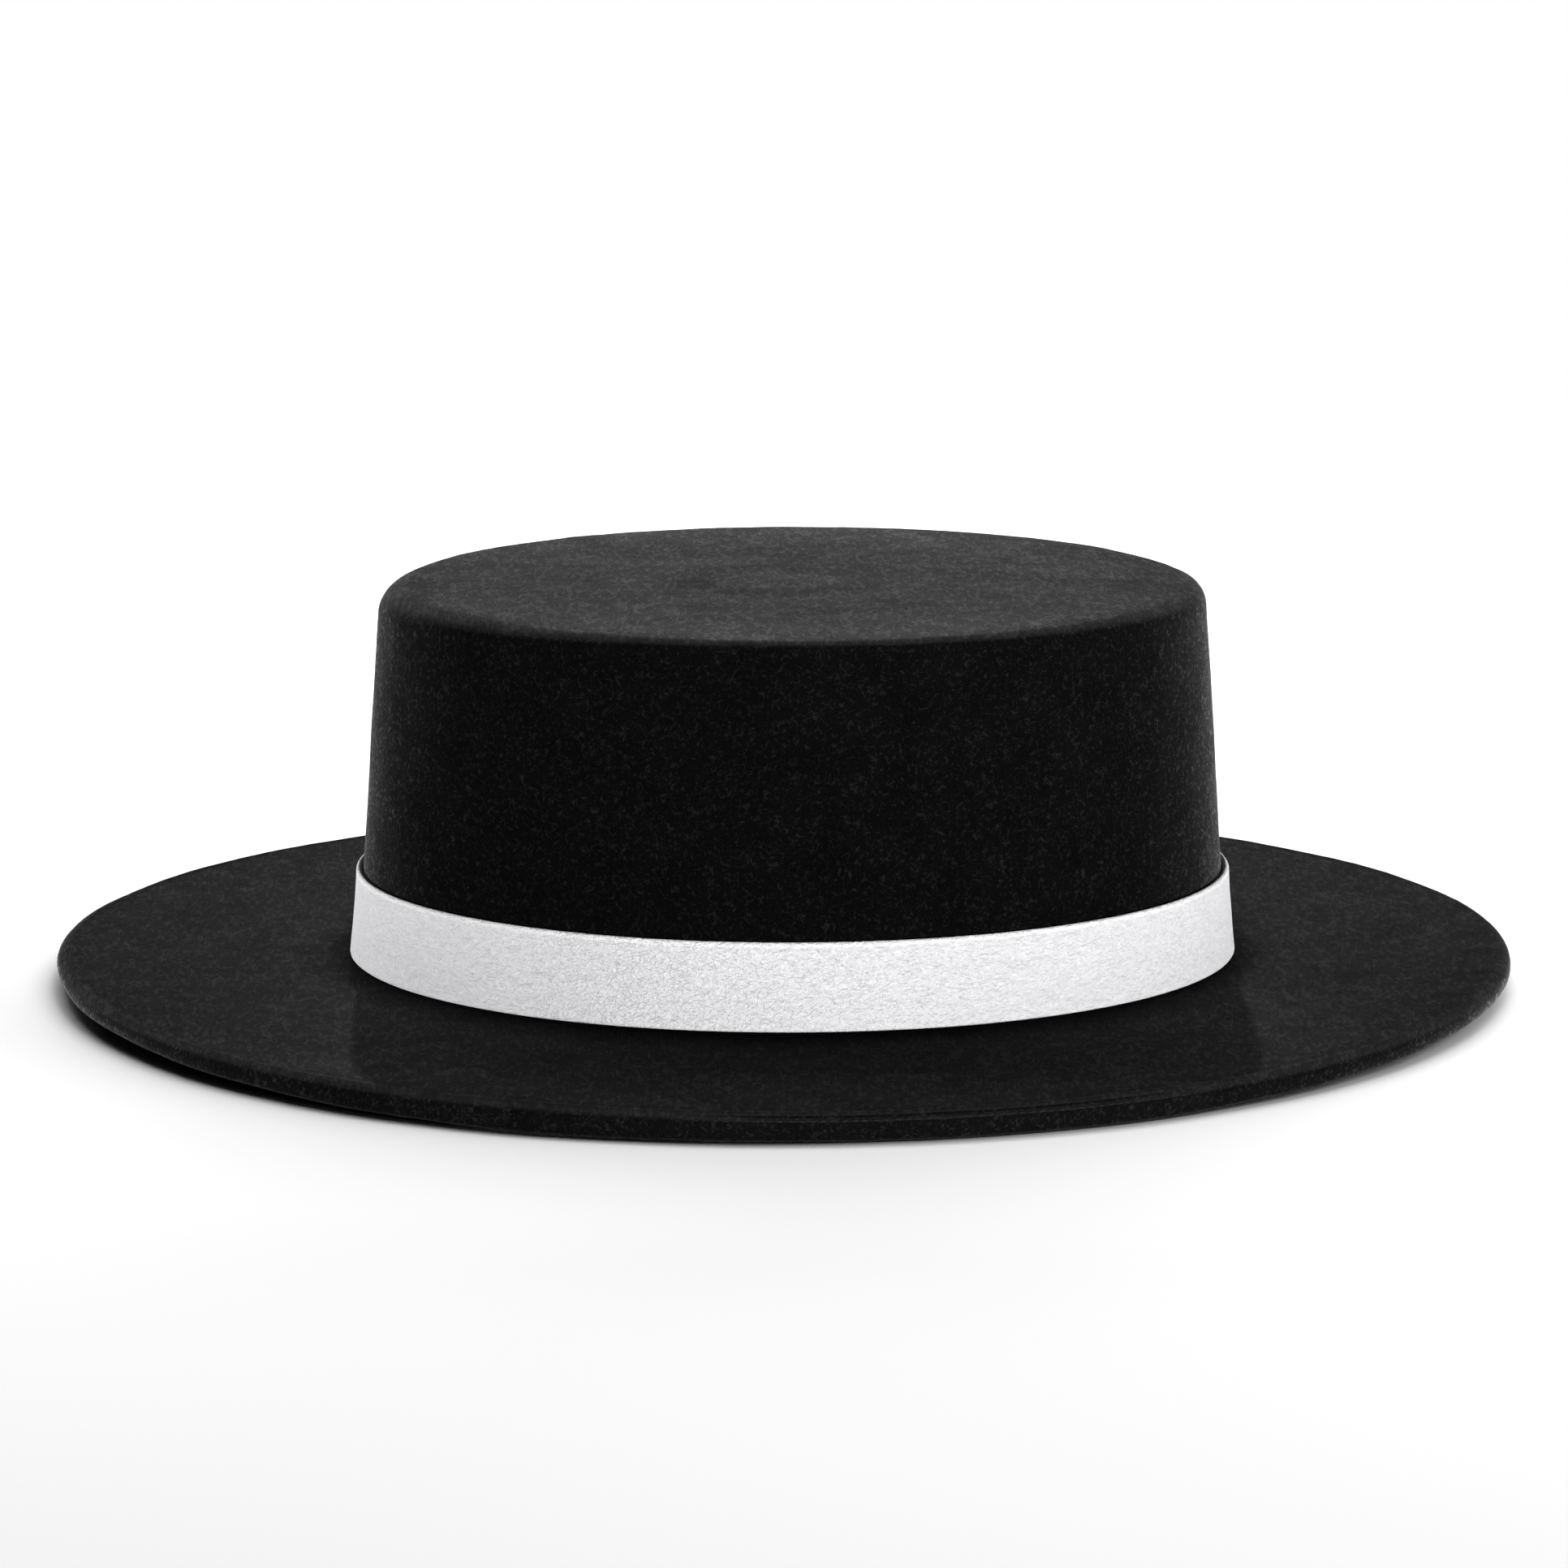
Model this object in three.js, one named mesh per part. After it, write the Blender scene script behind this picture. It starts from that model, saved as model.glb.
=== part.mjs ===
// A flat-crowned felt hat with a wide level brim and a plain white cloth band, resting on its brim.
// Millimetres, +Z up. +X points to the wearer's front, so the picture side is -Y, the wearer's right.
// The origin is on the surface that the hat rests on, under the middle of the brim.
import * as THREE from "three";

// Crown: outer sizes are taken at the crown line, where the wall would meet the level brim.
const CROWN_LINE = 5.0;
const CROWN_LENGTH = 203.0;
const CROWN_WIDTH = 168.5;
const CROWN_AHEAD = 1.9;
const CROWN_HEIGHT = 87.7;
const CROWN_TAPER = 0.0694;
const SHOULDER_RADIUS = { side: 4.5, end: 6.5 };
const CROWN_FELT = 2.0;

// The blocking mark in the middle of the crown's top: faint rings round a small raised centre. Spacing is
// from a crest to the next hollow.
const RIPPLE_HEIGHT = 0.4;
const RIPPLE_SPACING = 9.5;
const RIPPLE_REACH = 34.0;

// Brim: an ellipse with a turned-under edge, which is the lowest part and carries the hat.
const BRIM_LENGTH = 338.6;
const BRIM_WIDTH = 319.4;
const BRIM_FELT = 2.6;
const BRIM_FOOT = 5.4;
const FOOT_FILLET = 1.3;
const FOOT_ROLL = 3.6;
const WELT_WIDTH = 8.0;
const WELT_STEP = 0.4;
const EDGE_ROUND = 2.6;
const GROOVE_INSET = 4.6;
const GROOVE_HALF = 1.3;
const GROOVE_DEPTH = 0.35;

// Heights of the turned edge where the hat rests, at the two sides, and at its raised front and back ends.
const EDGE = {
  top: { side: 6.3, end: 7.5, power: 4.0, level: 0.0 },
  under: { side: 0.0, end: 3.3, power: 1.7, level: 0.28 },
};

// Band: a folded strip of cloth round the foot of the crown, with its ends lapped on the far side.
const BAND_BOTTOM = 1.0;
const BAND_HEIGHT = 20.0;
const BAND_CLOTH = 1.4;
const BAND_GAP = 0.3;
const BAND_FLARE = 0.3;
const BAND_FOLD = 0.5;
const BAND_WAIST = 6.7;
const LAP_MIDDLE = 90;
const LAP_HALF = 4.2;
const LAP_STEP = 0.35;
const LAP_CLOTH = 0.8;

// How finely the faces are cut. The shares say how far out a ring lies between the crown's foot and the edge.
const SIDES = 80;
const SHOULDER_STEPS = 5;
const FILLET_STEPS = 2;
const EDGE_STEPS = 6;
const ROLL_STEPS = 3;
const UPPER_SHARES = [0.35, 0.7];
const UNDER_SHARE = 0.5;

const CROWN_PLAN = { halfLength: CROWN_LENGTH / 2, halfWidth: CROWN_WIDTH / 2, x: CROWN_AHEAD };
const BRIM_PLAN = { halfLength: BRIM_LENGTH / 2, halfWidth: BRIM_WIDTH / 2, x: 0 };

const felt = new THREE.MeshStandardMaterial({ name: "black_felt", color: 0x16161a, roughness: 0.95, metalness: 0 });
const cloth = new THREE.MeshStandardMaterial({ name: "white_crepe", color: 0xe9eaee, roughness: 0.85, metalness: 0 });

const { degToRad, radToDeg, lerp } = THREE.MathUtils;

// Calls make with each share from 0 to 1, in count equal steps.
const everyStep = (count, make) => Array.from({ length: count + 1 }, (_, step) => make(step / count));

// Plans are ellipses, given by half sizes and the place of the middle along X.
function inset(plan, by) {
  return { halfLength: plan.halfLength - by, halfWidth: plan.halfWidth - by, x: plan.x };
}

function between(inner, outer, share) {
  return {
    halfLength: lerp(inner.halfLength, outer.halfLength, share),
    halfWidth: lerp(inner.halfWidth, outer.halfWidth, share),
    x: lerp(inner.x, outer.x, share),
  };
}

function crownPlan(height, wall) {
  return inset(CROWN_PLAN, CROWN_TAPER * height + wall);
}

// A height that is one value at the resting sides and another at the raised ends. It stays level near the
// sides, and power says how late it climbs.
function edgeHeight({ side, end, power, level }, angle) {
  const reach = Math.abs(Math.cos(angle));
  const share = Math.max(0, (reach - level) / (1 - level));
  return lerp(side, end, share ** power);
}

// The brim's upper face dips a little from its edge to the crown's foot.
function brimTop(angle, share) {
  return lerp(BRIM_FOOT, edgeHeight(EDGE.top, angle), share * share);
}

function ripple(radius) {
  if (radius >= RIPPLE_REACH) return 0;
  const fade = (1 - radius / RIPPLE_REACH) ** 2;
  return RIPPLE_HEIGHT * fade * Math.cos((Math.PI * radius) / RIPPLE_SPACING);
}

// One ring of points round a plan. The plan and the height may be functions of the angle.
function ring(plan, height, angles) {
  return angles.map((angle) => {
    const z = typeof height === "function" ? height(angle) : height;
    const size = typeof plan === "function" ? plan(angle) : plan;
    const x = size.x + size.halfLength * Math.cos(angle);
    return new THREE.Vector3(x, size.halfWidth * Math.sin(angle), z);
  });
}

function pole(x, z) {
  return [new THREE.Vector3(x, 0, z)];
}

// Skins a list of rings into one closed mesh. A ring of one point is a pole, and a loop joins its last ring
// to its first.
function skin(rings, loop) {
  const points = [];
  const starts = [];
  for (const ring of rings) {
    starts.push(points.length);
    points.push(...ring);
  }
  const faces = [];
  const pairs = loop ? rings.length : rings.length - 1;
  for (let i = 0; i < pairs; i++) {
    const next = (i + 1) % rings.length;
    const here = (step) => starts[i] + (step % rings[i].length);
    const there = (step) => starts[next] + (step % rings[next].length);
    const steps = Math.max(rings[i].length, rings[next].length);
    for (let j = 0; j < steps; j++) {
      if (there(j) !== there(j + 1)) faces.push(here(j), there(j), there(j + 1));
      if (here(j) !== here(j + 1)) faces.push(here(j), there(j + 1), here(j + 1));
    }
  }
  const geometry = new THREE.BufferGeometry().setFromPoints(points);
  geometry.setIndex(faces);
  geometry.computeVertexNormals();
  return geometry;
}

// The shoulder between wall and top is a little rounder at the two ends than at the sides.
function shoulderRadius(angle) {
  return lerp(SHOULDER_RADIUS.side, SHOULDER_RADIUS.end, Math.cos(angle) ** 2);
}

// Rings of the crown's outer or inner skin, from the top's rim down to the foot's upper end.
function crownWall(wall, footHeight, angles) {
  const shoulder = everyStep(SHOULDER_STEPS, (share) => {
    const turned = degToRad(90 * (1 - share));
    const spring = (angle) => CROWN_HEIGHT - shoulderRadius(angle);
    const radius = (angle) => shoulderRadius(angle) - wall;
    const plan = (angle) => inset(crownPlan(spring(angle), wall), radius(angle) * (1 - Math.cos(turned)));
    const height = (angle) => CROWN_LINE + spring(angle) + radius(angle) * Math.sin(turned);
    return ring(plan, height, angles);
  });
  return [...shoulder, ring(crownPlan(footHeight - CROWN_LINE, wall), footHeight, angles)];
}

// The faint rings in the middle of the top, out to where it is flat.
function crownTop(angles) {
  const middle = CROWN_LINE + CROWN_HEIGHT;
  const { side } = SHOULDER_RADIUS;
  const flat = inset(crownPlan(CROWN_HEIGHT - side, 0), side);
  const radii = [RIPPLE_SPACING, 2 * RIPPLE_SPACING, RIPPLE_REACH];
  const rings = radii.map((radius) => {
    const share = radius / flat.halfLength;
    const plan = { halfLength: radius, halfWidth: flat.halfWidth * share, x: CROWN_AHEAD };
    return ring(plan, middle + ripple(radius), angles);
  });
  return [pole(CROWN_AHEAD, middle + ripple(0)), ...rings];
}

// The brim's upper face, from the fillet at the crown's foot out to the groove inside the edge.
function brimUpper(angles) {
  const foot = crownPlan(BRIM_FOOT - CROWN_LINE, 0);
  const outer = inset(foot, -FOOT_FILLET);
  const fillet = everyStep(FILLET_STEPS, (share) => {
    const turned = degToRad(90 * share);
    const out = FOOT_FILLET * (1 - Math.cos(turned));
    return ring(inset(foot, -out), BRIM_FOOT + FOOT_FILLET * (1 - Math.sin(turned)), angles);
  });
  const reach = BRIM_PLAN.halfLength - outer.halfLength;
  const level = UPPER_SHARES.map((share) =>
    ring(between(outer, BRIM_PLAN, share), (angle) => brimTop(angle, share), angles),
  );
  const groove = [
    { at: GROOVE_INSET + GROOVE_HALF, depth: 0 },
    { at: GROOVE_INSET, depth: GROOVE_DEPTH },
    { at: GROOVE_INSET - GROOVE_HALF, depth: 0 },
  ].map(({ at, depth }) =>
    ring(inset(BRIM_PLAN, at), (angle) => brimTop(angle, 1 - at / reach) - depth, angles),
  );
  return [...fillet.slice(1), ...level, ...groove];
}

// The rounded edge, turned from its upper face to its lower one.
function brimEdge(angles) {
  return everyStep(EDGE_STEPS, (share) => {
    const turned = degToRad(90 - 180 * share);
    const plan = inset(BRIM_PLAN, EDGE_ROUND * (1 - Math.cos(turned)));
    const rise = (1 + Math.sin(turned)) / 2;
    const height = (angle) => lerp(edgeHeight(EDGE.under, angle), edgeHeight(EDGE.top, angle), rise);
    return ring(plan, height, angles);
  });
}

// The underside, from the inner rim of the turned-under strip to the roll into the head opening.
function brimUnder(angles) {
  const foot = crownPlan(BRIM_FOOT - CROWN_LINE, CROWN_FELT);
  const outer = inset(foot, -FOOT_ROLL);
  const reach = BRIM_PLAN.halfLength - outer.halfLength;
  const strip = inset(BRIM_PLAN, WELT_WIDTH);
  const under = (share) => (angle) => brimTop(angle, share) - BRIM_FELT;
  const roll = everyStep(ROLL_STEPS, (share) => {
    const turned = degToRad(90 * share);
    const out = FOOT_ROLL * (1 - Math.sin(turned));
    const z = BRIM_FOOT - BRIM_FELT + FOOT_ROLL * (1 - Math.cos(turned));
    return ring(inset(foot, -out), z, angles);
  });
  return [
    ring(strip, (angle) => edgeHeight(EDGE.under, angle), angles),
    ring(inset(strip, WELT_STEP), under(1 - WELT_WIDTH / reach), angles),
    ring(between(outer, BRIM_PLAN, UNDER_SHARE), under(UNDER_SHARE), angles),
    ...roll,
  ];
}

// One felt body: crown and brim are blocked from a single piece, open underneath for the head.
function feltBody() {
  const angles = everyStep(SIDES, (share) => 2 * Math.PI * share).slice(0, SIDES);
  const innerTop = CROWN_LINE + CROWN_HEIGHT - CROWN_FELT;
  const outerFoot = BRIM_FOOT + FOOT_FILLET;
  const innerFoot = BRIM_FOOT - BRIM_FELT + FOOT_ROLL;
  const inside = crownWall(CROWN_FELT, innerFoot, angles).slice(0, -1).reverse();
  const rings = [
    ...crownTop(angles),
    ...crownWall(0, outerFoot, angles),
    ...brimUpper(angles),
    ...brimEdge(angles),
    ...brimUnder(angles),
    ...inside,
    pole(CROWN_AHEAD, innerTop),
  ];
  return skin(rings, false);
}

// The band: a closed strip with folded edges, thicker where its ends lap.
function hatBand() {
  const lap = [LAP_MIDDLE - LAP_HALF, LAP_MIDDLE + LAP_HALF];
  const even = everyStep(SIDES, (share) => 360 * share).slice(0, SIDES);
  const steps = [lap[0] - LAP_STEP, lap[0], lap[1], lap[1] + LAP_STEP];
  const angles = [...even, ...steps].sort((a, b) => a - b);
  const lapped = (degrees) => degrees >= lap[0] && degrees <= lap[1];
  const section = [
    { height: BAND_HEIGHT - BAND_FOLD, out: 0 },
    { height: BAND_HEIGHT, out: BAND_FOLD },
    { height: BAND_HEIGHT, out: BAND_CLOTH - BAND_FOLD },
    { height: BAND_HEIGHT - BAND_FOLD, out: BAND_CLOTH },
    { height: BAND_WAIST, out: BAND_CLOTH },
    { height: BAND_FOLD, out: BAND_CLOTH },
    { height: 0, out: BAND_CLOTH - BAND_FOLD },
    { height: 0, out: BAND_FOLD },
    { height: BAND_FOLD, out: 0 },
    { height: BAND_WAIST, out: 0 },
  ];
  const rings = section.map(({ height, out }) => {
    const above = BAND_BOTTOM + height;
    const flare = BAND_FLARE * (1 - height / BAND_HEIGHT) ** 2;
    const plan = (angle) => {
      const extra = out > BAND_CLOTH / 2 && lapped(radToDeg(angle)) ? LAP_CLOTH : 0;
      return crownPlan(above, -(BAND_GAP + flare + out + extra));
    };
    return ring(plan, CROWN_LINE + above, angles.map(degToRad));
  });
  return skin(rings, true);
}

function named(name, geometry, material) {
  const mesh = new THREE.Mesh(geometry, material);
  mesh.name = name;
  return mesh;
}

const hat = new THREE.Group();
hat.add(named("felt_body", feltBody(), felt));
hat.add(named("hat_band", hatBand(), cloth));

export default hat;
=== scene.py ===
"""A black felt hat with a flat crown, a wide level brim and a white crepe band, resting on its brim.

Sizes are in millimetres and become metres where a mesh is made. The frame is the CAD model's: the origin
lies on the floor under the brim's middle, +X points to the wearer's front and +Z up. The picture side is -Y.
"""
import math

import bpy
import numpy as np
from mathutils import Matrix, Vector


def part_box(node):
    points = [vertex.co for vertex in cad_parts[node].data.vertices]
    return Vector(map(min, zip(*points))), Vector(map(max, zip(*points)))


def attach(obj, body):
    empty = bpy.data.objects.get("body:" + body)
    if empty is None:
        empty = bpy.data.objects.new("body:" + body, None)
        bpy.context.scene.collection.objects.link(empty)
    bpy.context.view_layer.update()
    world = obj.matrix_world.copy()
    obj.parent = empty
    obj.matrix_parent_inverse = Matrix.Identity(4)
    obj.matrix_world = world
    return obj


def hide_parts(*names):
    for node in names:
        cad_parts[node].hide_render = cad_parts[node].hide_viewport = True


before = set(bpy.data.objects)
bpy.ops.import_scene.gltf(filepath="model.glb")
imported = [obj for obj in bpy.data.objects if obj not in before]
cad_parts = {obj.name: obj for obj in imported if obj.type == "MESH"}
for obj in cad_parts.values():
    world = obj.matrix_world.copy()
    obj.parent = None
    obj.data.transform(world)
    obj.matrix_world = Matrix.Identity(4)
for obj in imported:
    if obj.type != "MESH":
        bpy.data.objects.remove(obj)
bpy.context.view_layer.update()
MM = 0.001


def span_mm(node):
    """The lowest and highest corner of a CAD node, in millimetres."""
    low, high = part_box(node)
    return np.array(low) / MM, np.array(high) / MM


FELT_LOW, FELT_HIGH = span_mm("felt_body")
BAND_LOW, BAND_HIGH = span_mm("hat_band")

# The band's place on the crown's wall, and how thick it is and how far its foot stands out.
BAND_GAP = 0.3
BAND_THICK = 1.4
BAND_FLARE = 0.3
BAND_BOTTOM = BAND_LOW[2]
BAND_HEIGHT = BAND_HIGH[2] - BAND_LOW[2]

# The crown: an upright wall on an oval plan that draws in towards a flat top.
CROWN_LINE = 5.0
CROWN_TAPER = 0.0694
SHOULDER = {"side": 2.3, "left": 7.5, "right": 5.1}
NEAR_FULLER = 0.030
CROWN_FELT = 2.0
RIPPLE_HEIGHT = 0.4
RIPPLE_SPACING = 9.5
RIPPLE_REACH = 34.0
RIPPLE_WORN = 0.3
CROWN_HEIGHT = FELT_HIGH[2] - RIPPLE_HEIGHT - CROWN_LINE
CROWN_TOP = CROWN_LINE + CROWN_HEIGHT
BAND_OFF = BAND_GAP + BAND_THICK + BAND_FLARE - CROWN_TAPER * (BAND_BOTTOM - CROWN_LINE)
CROWN_PLAN = (
    (BAND_HIGH[0] - BAND_LOW[0]) / 2 - BAND_OFF,
    -BAND_LOW[1] - BAND_OFF,
    (BAND_HIGH[0] + BAND_LOW[0]) / 2,
)

# The brim: an oval sheet with a turned-under edge that carries the hat.
BRIM_PLAN = ((FELT_HIGH[0] - FELT_LOW[0]) / 2, (FELT_HIGH[1] - FELT_LOW[1]) / 2, 0.0)
BRIM_FELT = 2.6
BRIM_FOOT = 5.4
FOOT_FILLET = 1.3
FOOT_ROLL = 3.6
WELT_WIDTH = 8.0
WELT_STEP = 0.4
EDGE_ROUND = 2.6
EDGE_SQUARE = 0.45
EDGE_TOP = {"side": 6.3, "end": 7.5, "power": 4.0, "level": 0.0}
EDGE_UNDER = {"side": 0.0, "end": 3.3, "power": 1.7, "level": 0.28}

# Low relief of the brim's edge: a groove inside the lip, the lip, and the stitched seam with its own lip.
# Places on the turned edge are in degrees: 90 is its top, 0 its outermost line.
GROOVE = {"inset": 4.2, "half": 1.2, "depth": 0.12}
GROOVE_HALVES = 2.5
LIP = {"inset": 2.4, "half": 0.9, "height": 0.05}
LIP_FADE = 25.0
SEAM = {"turned": 48.0, "half": 9.0, "depth": 0.42}
SEAM_LIP = {"turned": 24.0, "half": 11.0, "height": 0.22}

# Where the seam shows, in degrees round the brim.
SEAM_NEAR = {"middle": 281.0, "half": 11.0, "fade": 12.0}
SEAM_FAR = {"middle": 100.0, "half": 20.0, "fade": 16.0}

# How strongly groove and lip are pressed in: evenly, more at the ends, and in slow waves round the brim.
PRESSED = {"evenly": 0.55, "ends": 0.3, "waves": 0.15}
PRESSED_ENDS_AT = 0.5
PRESSED_WAVES = 7
PRESSED_WAVES_AT = 1.0

# Unevenness, from broad to fine: its height and length in millimetres, the number of waves, and the seed.
FELT_SWELL = ((0.16, 46.0, 30, 11), (0.045, 15.0, 50, 12), (0.03, 5.5, 90, 13))
BAND_SWELL = ((0.07, 22.0, 30, 31), (0.03, 6.0, 60, 32))
WAVE_SPREAD = (0.7, 1.4)
# The felt stays true behind the band: how far past its edges, and out to what share of the crown's plan.
TRUE_PAST_BAND = 1.0
TRUE_FADE = 6.0
TRUE_WITHIN = 1.1

# How finely the felt is cut: points round it, and stations in each stretch of its profile.
AROUND = 420
STATIONS = {
    "top": 22, "shoulder": 14, "wall": 30, "fillet": 5, "brim": 30, "groove": 14, "edge": 28,
    "strip": 7, "under": 14, "roll": 6, "inner_wall": 14, "inner_shoulder": 6, "inner_top": 8,
}


# Helpers for shapes

def blend(low, high, share):
    return low + (high - low) * share


def inset(plan, by):
    """An oval plan made smaller all round. A plan is two half sizes, and its middle along X."""
    return (plan[0] - by, plan[1] - by, plan[2])


def between(inner, outer, share):
    return tuple(blend(a, b, share) for a, b in zip(inner, outer))


def crown_plan(height, wall=0.0):
    """The crown's plan at a height above the crown line, with wall measured in from the outer face."""
    return inset(CROWN_PLAN, CROWN_TAPER * height + wall)


def edge_height(form, angle):
    """The edge's height round the brim: level at the resting sides and raised at the two ends."""
    reach = (np.abs(np.cos(angle)) - form["level"]) / (1 - form["level"])
    return blend(form["side"], form["end"], np.maximum(reach, 0) ** form["power"])


def brim_top(angle, share):
    return blend(BRIM_FOOT, edge_height(EDGE_TOP, angle), share**2)


def shoulder_radius(angle):
    """The shoulder between wall and top is rounder at the ends than at the sides, most at the left end."""
    end = np.where(np.cos(angle) > 0, SHOULDER["right"], SHOULDER["left"])
    return blend(SHOULDER["side"], end, np.cos(angle) ** 2)


def ripple(radius):
    """The blocking mark in the middle of the crown's top, worn faint."""
    fade = np.maximum(1 - radius / RIPPLE_REACH, 0) ** 2
    return RIPPLE_HEIGHT * RIPPLE_WORN * fade * np.cos(np.pi * radius / RIPPLE_SPACING)


def hump(value, middle, half):
    """1 at the middle, falling smoothly to nearly nothing at twice the half width."""
    return np.exp(-(((value - middle) / half) ** 2))


def plateau(value, middle, half, fade):
    """1 within half of the middle, falling smoothly to 0 over the fade beyond it."""
    past = np.clip((np.abs(value - middle) - half) / fade, 0, 1)
    return 1 - past * past * (3 - 2 * past)


def ring(plan, height, angle):
    """Points round a plan at a height, which may change with the angle."""
    x = plan[2] + plan[0] * np.cos(angle)
    y = plan[1] * np.sin(angle)
    return np.stack([x, y, np.broadcast_to(height, angle.shape)], axis=1)


def waves(points, length, count, seed):
    """Smooth unevenness about -1 to 1 in size: cosines of about that length, in random directions."""
    random = np.random.default_rng(seed)
    along = random.normal(size=(count, 3))
    along /= np.linalg.norm(along, axis=1)[:, None]
    along *= (2 * np.pi / length) * random.uniform(*WAVE_SPREAD, (count, 1))
    phase = random.uniform(0, 2 * np.pi, count)
    return np.cos(points @ along.T + phase).sum(axis=-1) * math.sqrt(2 / count) / 2


def swell(points, sizes):
    return sum(height * waves(points, length, count, seed) for height, length, count, seed in sizes)


def grid_normals(grid):
    """Outward unit normals of a grid of points, rows by columns, whose columns close on themselves."""
    round_it = np.roll(grid, -1, axis=1) - np.roll(grid, 1, axis=1)
    normals = np.cross(np.gradient(grid, axis=0), round_it)
    return normals / np.maximum(np.linalg.norm(normals, axis=2, keepdims=True), 1e-9)


def grid_faces(rows, columns, wrap_rows=False, wrap_columns=True):
    """Quads between neighbouring points of a grid whose points are numbered row by row."""
    r = np.arange(rows if wrap_rows else rows - 1)
    c = np.arange(columns if wrap_columns else columns - 1)
    r, c = np.meshgrid(r, c, indexing="ij")
    down, right = (r + 1) % rows, (c + 1) % columns
    quads = [r * columns + c, down * columns + c, down * columns + right, r * columns + right]
    return np.stack(quads, axis=-1).reshape(-1, 4)


def mesh_piece(name, points, faces, material):
    """A mesh from points in millimetres. It rides on the hat's one body and takes the material that it is
    given.
    """
    mesh = bpy.data.meshes.new(name)
    mesh.from_pydata((np.asarray(points) * MM).tolist(), [], [list(map(int, face)) for face in faces])
    mesh.validate()
    mesh.polygons.foreach_set("use_smooth", [True] * len(mesh.polygons))
    mesh.materials.append(material)
    piece = bpy.data.objects.new(name, mesh)
    bpy.context.scene.collection.objects.link(piece)
    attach(piece, "root")
    return piece


# The felt: crown and brim in one

def steps(name, low=0.0, high=1.0, last=True):
    """Shares from low to high for one stretch of the profile, without the last where the next one starts."""
    return np.linspace(low, high, STATIONS[name], endpoint=last)


def seam_strength(angle):
    """How much of the seam shows, from 0 to 1: a stretch of the near side, and one of the far side."""
    degrees = np.degrees(angle) % 360
    return np.maximum(plateau(degrees, **SEAM_NEAR), plateau(degrees, **SEAM_FAR))


def pressed_strength(angle):
    """How strongly groove and lip are pressed in at each place round the brim."""
    ends = PRESSED["ends"] * np.cos(angle - PRESSED_ENDS_AT) ** 4
    return PRESSED["evenly"] + ends + PRESSED["waves"] * np.cos(PRESSED_WAVES * angle + PRESSED_WAVES_AT)


def crown_outside(angle):
    """Rings from the middle of the flat top down to the fillet at the crown's foot."""
    radius = shoulder_radius(angle)
    spring = CROWN_HEIGHT - radius
    side = crown_plan(spring)
    flat = inset(side, radius)
    rings = []
    for share in steps("top", last=False)[1:]:
        plan = (flat[0] * share, flat[1] * share, flat[2])
        rings.append(ring(plan, CROWN_TOP + ripple(flat[0] * share), angle))
    for turned in np.radians(90 * (1 - steps("shoulder", last=False))):
        plan = inset(side, radius * (1 - math.cos(turned)))
        rings.append(ring(plan, CROWN_LINE + spring + radius * math.sin(turned), angle))
    foot = BRIM_FOOT + FOOT_FILLET
    for share in steps("wall", last=False):
        height = blend(CROWN_LINE + spring, foot, share)
        rings.append(ring(crown_plan(height - CROWN_LINE), height, angle))
    return rings


def brim_upside(angle):
    """Rings from the fillet out over the brim and across the groove to the start of the edge."""
    foot = crown_plan(BRIM_FOOT - CROWN_LINE)
    outer = inset(foot, -FOOT_FILLET)
    reach = BRIM_PLAN[0] - outer[0]
    rings = []
    for turned in np.radians(90 * steps("fillet", last=False)):
        plan = inset(foot, -FOOT_FILLET * (1 - math.cos(turned)))
        rings.append(ring(plan, BRIM_FOOT + FOOT_FILLET * (1 - math.sin(turned)), angle))
    groove_start = 1 - (GROOVE["inset"] + GROOVE_HALVES * GROOVE["half"]) / reach
    for share in steps("brim", 0.0, groove_start, last=False):
        rings.append(ring(between(outer, BRIM_PLAN, share), brim_top(angle, share), angle))
    pressed = pressed_strength(angle)
    for share in steps("groove", groove_start, 1 - EDGE_ROUND / reach, last=False):
        inward = (1 - share) * reach
        relief = LIP["height"] * hump(inward, LIP["inset"], LIP["half"]) * pressed
        relief = relief - GROOVE["depth"] * hump(inward, GROOVE["inset"], GROOVE["half"]) * pressed
        rings.append(ring(inset(BRIM_PLAN, inward), brim_top(angle, share) + relief, angle))
    return rings


def brim_edge(angle):
    """Rings round the turned edge, squarer below, with the seam sunk in and its lip proud where it shows."""
    strength = seam_strength(angle)
    pressed = pressed_strength(angle)
    rings = []
    for turned in steps("edge", 90.0, -90.0, last=False):
        sine, cosine = math.sin(math.radians(turned)), math.cos(math.radians(turned))
        full = cosine ** (1 if turned > 0 else EDGE_SQUARE)
        proud = SEAM_LIP["height"] * hump(turned, SEAM_LIP["turned"], SEAM_LIP["half"]) * strength
        proud = proud - SEAM["depth"] * hump(turned, SEAM["turned"], SEAM["half"]) * strength
        lip = LIP["height"] * hump(90 - turned, 0, LIP_FADE) * pressed
        height = blend(edge_height(EDGE_UNDER, angle), edge_height(EDGE_TOP, angle), (1 + sine) / 2)
        points = ring(inset(BRIM_PLAN, EDGE_ROUND * (1 - full)), height + lip + proud * sine, angle)
        out = np.stack([np.cos(angle), np.sin(angle)], axis=1) * (proud * cosine)[:, None]
        points[:, :2] += out
        rings.append(points)
    return rings


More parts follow.
